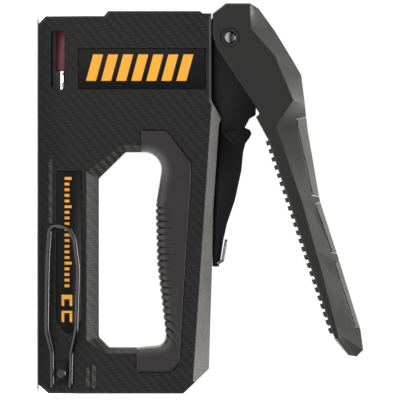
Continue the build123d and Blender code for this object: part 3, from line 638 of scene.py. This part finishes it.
def roll_wear_and_highlight(turn, x):
    """How far the roll is painted pale, partly wear and partly a painted highlight: most at the front of the
    hole, less at its rear, least on the ribs.
    """
    on_roll = max(0.0, 1.0 - turn / WEAR_AND_HIGHLIGHT_TURN)
    start, length, front = WEAR_AND_HIGHLIGHT_FRONT
    front *= max(0.0, min(1.0, (start - x) / length))
    start, length, rear = WEAR_AND_HIGHLIGHT_REAR
    rear *= max(0.0, min(1.0, (x - start) / length))
    return on_roll * max(WEAR_AND_HIGHLIGHT_RIBS, front, rear)


def grip_half(side):
    """One half of the overmould: a rolled lip at the finger edge, ribs across it, a flat flank."""
    pairs = matched_lines()
    rows = len(rubber_profile(LIP))
    shape = bmesh.new()
    groove = shape.verts.layers.float.new("groove")
    wear_and_highlight = shape.verts.layers.float.new("wear_and_highlight")
    grid = bmesh.ops.create_grid(shape, x_segments=len(pairs) - 1, y_segments=rows, size=1)["verts"]
    for vert in grid:
        column = round((vert.co.x + 1) / 2 * (len(pairs) - 1))
        row = round((vert.co.y + 1) / 2 * rows) % rows
        finger, outer = pairs[column]
        width = (outer - finger).length
        inward, height, share = rubber_profile(width)[row]
        sunk = (1.0 - rib(finger.x)) * RIB_DEEP * share
        lip = lip_radius(width)
        turn = min(1.0, inward / lip) * pi / 2 if height > SIDE - lip - 0.01 else 0.0
        spot = finger + (outer - finger) * ((inward + sunk * cos(turn)) / width)
        vert.co = (spot.x, side * (height - sunk * sin(turn) * 0.6), spot.y)
        # how deep the groove lies, which the rubber's shader paints near black as shade
        vert[groove] = (1.0 - rib(finger.x)) * share
        # how pale the roll is painted: partly wear, partly a painted highlight
        vert[wear_and_highlight] = roll_wear_and_highlight(turn, finger.x)
    closed(shape)
    bmesh.ops.holes_fill(shape, edges=[e for e in shape.edges if e.is_boundary], sides=0)
    closed(shape)
    name = "left" if side < 0 else "right"
    skin = piece("grip_skin_" + name, shape, "body", FINISHES["grip_rubber"],
                 ("grip_rubber_" + name,), smooth=True)
    skin.data.set_sharp_from_angle(angle=radians(50))


# ---- marks ----
MARK_Y, MARK_DEPTH = -15.955, 0.08
BADGE_X, BADGE_Z = (19.2, 32.4), (24.0, 80.3)
BAR_COUNT = 7
BAR_LEAN = 3.6
BAR_SHARE = 0.66           # of the pitch
STRIP_X, STRIP_Z = (80.5, 137.0), (13.3, 16.8)
TICK_COUNT = 20
TICK_SHORT = 2.4
STAPLES = (139.4, 2.2), (147.4, 1.1)    # where each outline starts, and how thick its crown is
STAPLE_Z = 11.8, 17.1
STAPLE_LEG, STAPLE_LENGTH = 1.3, 5.6


def printed(shape, outline):
    prism(shape, outline, MARK_Y, MARK_Y + MARK_DEPTH)


def badge_bars():
    """Plain slanted bars on the badge."""
    shape = bmesh.new()
    (front, back), (low, high) = BADGE_X, BADGE_Z
    pitch = (high - low - BAR_LEAN) / BAR_COUNT
    wide = pitch * BAR_SHARE
    for index in range(BAR_COUNT):
        z = low + pitch * index
        printed(shape, [(back, z), (front, z + BAR_LEAN), (front, z + BAR_LEAN + wide), (back, z + wide)])
    piece("badge_bars", closed(shape), "body", YELLOW)


def strip_marks():
    """A tick scale and two staple outlines on the strip."""
    shape = bmesh.new()
    low, high = STRIP_Z
    step = (STRIP_X[1] - STRIP_X[0]) / TICK_COUNT
    for index in range(TICK_COUNT):
        x = STRIP_X[0] + step * index
        top = high if index % 5 == 0 else low + TICK_SHORT
        printed(shape, [(x, low), (x + step * 0.5, low), (x + step * 0.5, top), (x, top)])
    low, high = STAPLE_Z
    for x, crown in STAPLES:
        tip = x + STAPLE_LENGTH
        printed(shape, [(x, low), (tip, low), (tip, low + STAPLE_LEG), (x + crown, low + STAPLE_LEG),
                        (x + crown, high - STAPLE_LEG), (tip, high - STAPLE_LEG), (tip, high), (x, high)])
    piece("strip_marks", closed(shape), "body", YELLOW)


# ---- lever ----
PIVOT_X, PIVOT_Z = 10.6, 96.1
PIN_R, PIN_REACH, PIN_DOME = 2.9, 14.1, 0.9
RETAINER_RADII = 5.0, 3.2
RETAINER_Y, RETAINER_THICK = 13.7, 0.75


def pivot_pin():
    """Pin with domed ends."""
    profile = [Vector((0, -PIN_REACH - PIN_DOME, 0))]
    for index in range(1, 7):
        turn = pi / 2 * index / 6
        profile.append(Vector((PIN_R * sin(turn), -PIN_REACH - PIN_DOME * cos(turn), 0)))
    profile += [Vector((v.x, -v.y, 0)) for v in reversed(profile)]
    shape = bmesh.new()
    verts = [shape.verts.new(p) for p in profile]
    edges = [shape.edges.new(pair) for pair in zip(verts, verts[1:])]
    bmesh.ops.spin(shape, geom=verts + edges, axis=(0, 1, 0), cent=(0, 0, 0), steps=40, angle=2 * pi,
                   use_merge=True)
    closed(shape)
    shape.transform(Matrix.Translation((PIVOT_X, 0, PIVOT_Z)))
    pin = piece("pivot_pin", shape, "lever", FINISHES["pin_steel"], ("lever_pivot_pin",),
                smooth=True)
    pin.data.set_sharp_from_angle(angle=radians(40))


def pin_retainer(side):
    """Eight-sided black ring round one end of the pin."""
    shape = bmesh.new()
    place = (Matrix.Translation((PIVOT_X, side * RETAINER_Y, PIVOT_Z))
             @ Matrix.Rotation(pi / 2, 4, "X") @ Matrix.Rotation(pi / 8, 4, "Z"))
    for radius in RETAINER_RADII:
        bmesh.ops.create_circle(shape, segments=8, radius=radius, matrix=place)
    ring = bmesh.ops.bridge_loops(shape, edges=shape.edges)["faces"]
    pushed_out(shape, ring, side * RETAINER_THICK)
    closed(shape)
    mark_edges(shape, 40, 0.5)
    name = "pin_retainer_left" if side < 0 else "pin_retainer_right"
    eased(piece(name, shape, "lever", FINISHES["black_steel"]), 0.15)


def lever_pieces():
    finished_copy("lever", 0.3, angle=20, shortest=4.0, crisp=True)
    for node in ("palm_pad_front", "palm_pad_middle", "palm_pad_rear"):
        finished_copy(node, 0.35, angle=22, crisp=True)
    finished_copy("lever_tread", 0.18)
    pivot_pin()
    pin_retainer(-1)
    pin_retainer(1)


def small_pieces():
    finished_copy("neck_frame", 0.4)
    finished_copy("magazine_end_cap", 0.4)
    finished_copy("hook_clamp", 0.3)
    finished_copy("hook_screw", 0.12)
    finished_copy("belt_hook", 0.1, 1, angle=60)
    finished_copy("pusher", 0.25)
    finished_copy("badge_plate", 0.1)
    finished_copy("info_plate", 0.1)


def pressed_spring(node):
    """Smooth copy of a coil spring that is pressed short as its joint moves; here the copy only gets its own
    mesh and keeps one shape.
    """
    shape = merged(node)
    name = node + "_coil"
    mesh = bpy.data.meshes.new(name)
    shape.to_mesh(mesh)
    shape.free()
    mesh.polygons.foreach_set("use_smooth", [True] * len(mesh.polygons))
    slot = SLOTS[node]
    coil = fitted(bpy.data.objects.new(name, mesh), BODY_OF.get(node, "body"), [FINISHES[slot]],
                  (node,))
    mesh.set_sharp_from_angle(angle=radians(50))
    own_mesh(coil)


body_shells()
grip_half(-1)
grip_half(1)
badge_bars()
strip_marks()
lever_pieces()
small_pieces()
pressed_spring("main_spring")
pressed_spring("pusher_spring")
